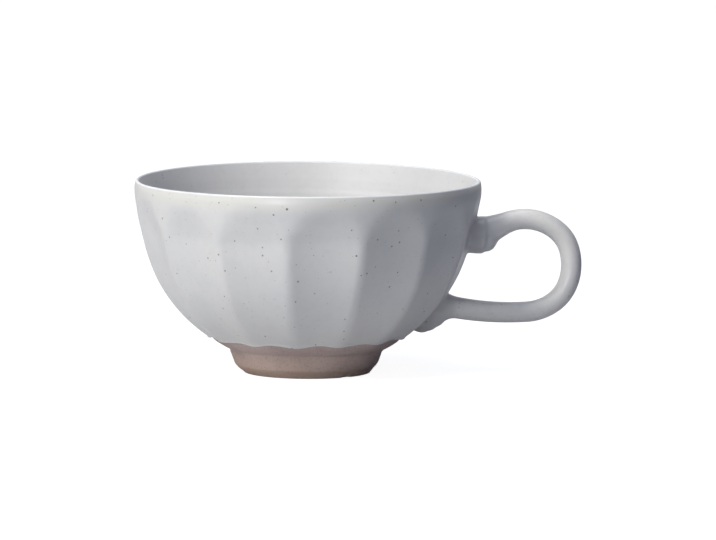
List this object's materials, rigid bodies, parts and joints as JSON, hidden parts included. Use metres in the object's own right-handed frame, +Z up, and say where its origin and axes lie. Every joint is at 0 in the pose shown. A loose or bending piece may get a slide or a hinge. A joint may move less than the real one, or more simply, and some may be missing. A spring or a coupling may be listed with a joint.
{
  "type": "cappuccino cup",
  "caption": "Wide stoneware cup with a fluted, speckled glaze wall, a round loop handle and a bare clay foot, for holding a milky coffee",
  "frame": {"origin": "the middle of the foot ring's flat standing face, on the plane the cup rests on", "axes": "+X points from the cup's axis out through the handle and is the longest side, +Z is up along the cup's axis and is the shortest side, +Y completes a right-handed set"},
  "size_m": [0.1426, 0.11, 0.0615],
  "materials": {
    "bowl_clay": "bare fired stoneware, matt",
    "foot_clay": "bare turned stoneware, matt",
    "handle_clay": "fired stoneware under glaze",
    "joint_slip": "fired joining slip",
    "outer_glaze": "satin speckled oatmeal glaze",
    "liner_glaze": "satin speckled oatmeal glaze",
    "handle_glaze": "satin speckled oatmeal glaze"
  },
  "bodies": {
    "root": {"bowl": "bowl_clay", "foot_ring": "foot_clay", "handle_loop": "handle_clay", "upper_pad": "handle_clay", "lower_tail": "handle_clay", "upper_slip": "joint_slip", "lower_slip": "joint_slip", "outer_glaze": "outer_glaze", "liner_glaze": "liner_glaze", "handle_glaze": "handle_glaze"}
  },
  "joints": []
}
